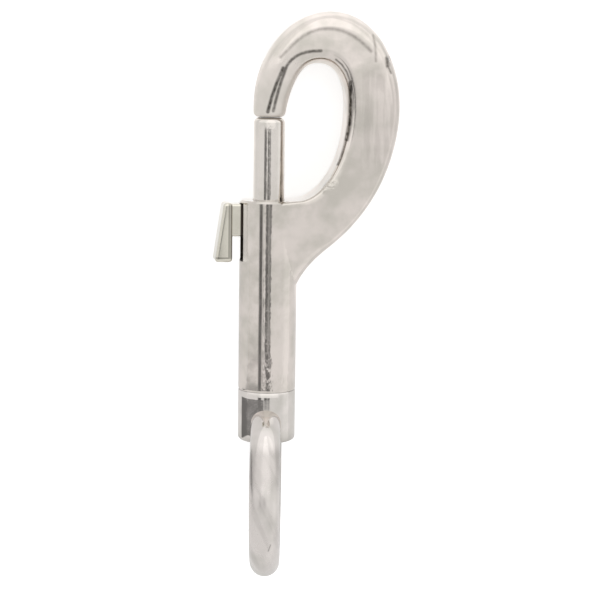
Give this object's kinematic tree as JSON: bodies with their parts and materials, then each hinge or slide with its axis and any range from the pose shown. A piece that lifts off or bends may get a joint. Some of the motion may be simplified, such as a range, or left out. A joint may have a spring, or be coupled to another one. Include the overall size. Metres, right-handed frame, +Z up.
{
  "type": "swivel snap hook",
  "caption": "Swivel snap hook: cast barrel and hook arm closed by a spring bolt with a thumb trigger, and a round eye that swivels under the barrel.",
  "frame": {"origin": "middle of the base of the lying hook's box, on the surface it lies on", "axes": "+Y along the hook from the eye to the crown, +X from the thumb trigger towards the hook arm, +Z up, out of the hook's front"},
  "size_m": [0.0322, 0.0979, 0.0309],
  "materials": {
    "cast_nickel": "bright nickel plate over a soft cast surface",
    "bolt_nickel": "bright nickel plate on turned steel",
    "trigger_nickel": "bright nickel plate over a cast surface",
    "spring_steel": "drawn steel wire"
  },
  "bodies": {
    "body": {"hook_body": "cast_nickel", "spring": "spring_steel"},
    "bolt": {"bolt": "bolt_nickel", "thumb_trigger": "trigger_nickel"},
    "eye": {"swivel_eye": "cast_nickel"}
  },
  "joints": [
    {"name": "bolt_slide", "type": "slide", "parent": "body", "child": "bolt", "axis": [0, -0.9889, 0.1487], "range_m": [0, 0.0042], "stiffness_N_per_m": 700, "springref_m": -0.0045, "deforming": ["spring"]},
    {"name": "eye_swivel", "type": "hinge", "parent": "body", "child": "eye", "pos_m": [-0.0066, -0.02073, 0.01353], "axis": [0, -0.9889, 0.1487], "continuous": true}
  ]
}
